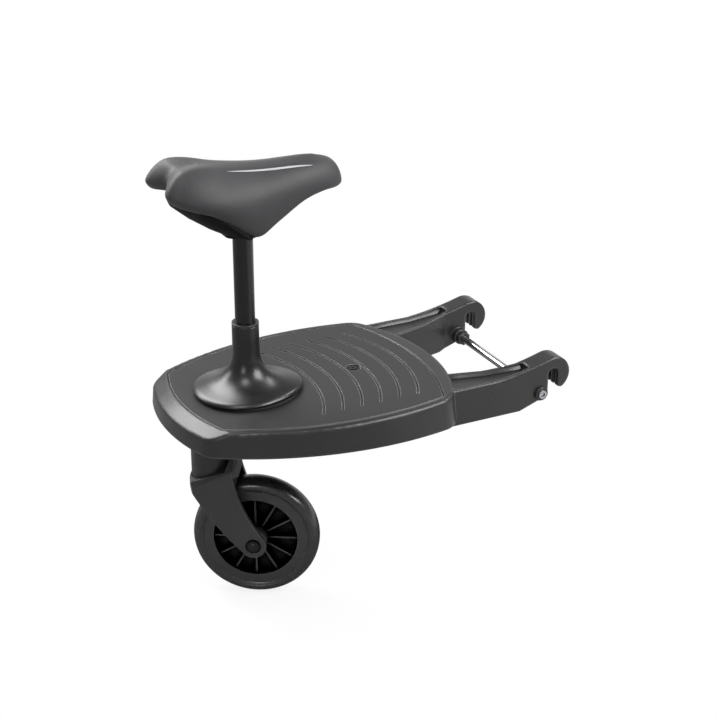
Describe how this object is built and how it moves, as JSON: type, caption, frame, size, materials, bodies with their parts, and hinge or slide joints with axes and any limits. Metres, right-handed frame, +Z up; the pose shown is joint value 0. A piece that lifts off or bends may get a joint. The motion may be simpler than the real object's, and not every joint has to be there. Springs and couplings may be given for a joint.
{
  "type": "buggy board with saddle",
  "caption": "Ride-on board that hooks onto a pushchair's rear axle, with a grooved tread, a bicycle-style saddle on a lift-out post and a trailing swivel caster.",
  "frame": {"origin": "midway between the two hooks, on the axis of the axle that they hold", "axes": "+X from the board towards the pushchair, +Y along the held axle to the board's left side, +Z up"},
  "size_m": [0.4565, 0.2725, 0.5163],
  "materials": {
    "black_moulding": "fine-textured black plastic moulding",
    "tread_moulding": "matt dark grey anti-slip plastic",
    "glossy_moulding": "glossy black plastic",
    "wheel_moulding": "satin black plastic",
    "black_paint": "satin black paint on steel",
    "zinc_steel": "bright zinc-plated steel",
    "bright_chrome": "polished chrome",
    "soft_rubber": "matt black rubber",
    "bearing_plastic": "smooth grey bearing plastic",
    "saddle_skin": "soft dark grey leatherette over foam",
    "black_tyre": "smooth black tyre"
  },
  "bodies": {
    "board": {"board_shell": "black_moulding", "tread_plate": "tread_moulding", "tread_screw": "zinc_steel", "seat_boot": "glossy_moulding", "boot_gasket": "soft_rubber", "boot_screws": "zinc_steel", "post_liner": "black_moulding", "cross_rod": "bright_chrome", "rod_nuts": "black_moulding", "rod_washers": "black_moulding", "rod_screws": "zinc_steel", "caster_housing": "black_moulding", "housing_screws": "zinc_steel", "swivel_bush_lower": "bearing_plastic", "swivel_bush_upper": "bearing_plastic"},
    "seat": {"seat_post": "black_paint", "post_plug": "black_moulding", "seat_plate": "black_paint", "seat_plate_screws": "zinc_steel", "saddle_pan": "black_moulding", "saddle_cover": "saddle_skin"},
    "fork": {"caster_fork": "black_moulding", "kingpin": "zinc_steel", "kingpin_washer": "zinc_steel", "kingpin_nut": "zinc_steel", "axle_bolt": "black_paint", "axle_nut": "zinc_steel", "hub_spacers": "black_moulding"},
    "wheel": {"wheel_rim": "wheel_moulding", "wheel_bearings": "zinc_steel", "tyre": "black_tyre"}
  },
  "joints": [
    {"name": "seat_lift", "type": "slide", "parent": "board", "child": "seat", "axis": [0, 0, 1], "range_m": [0, 0.06]},
    {"name": "caster_swivel", "type": "hinge", "parent": "board", "child": "fork", "pos_m": [-0.3795, 0, -0.089], "axis": [0, 0, 1], "continuous": true},
    {"name": "wheel_spin", "type": "hinge", "parent": "fork", "child": "wheel", "pos_m": [-0.33849, -0.02494, -0.163], "axis": [0.5195, 0.8545, 0], "continuous": true}
  ]
}
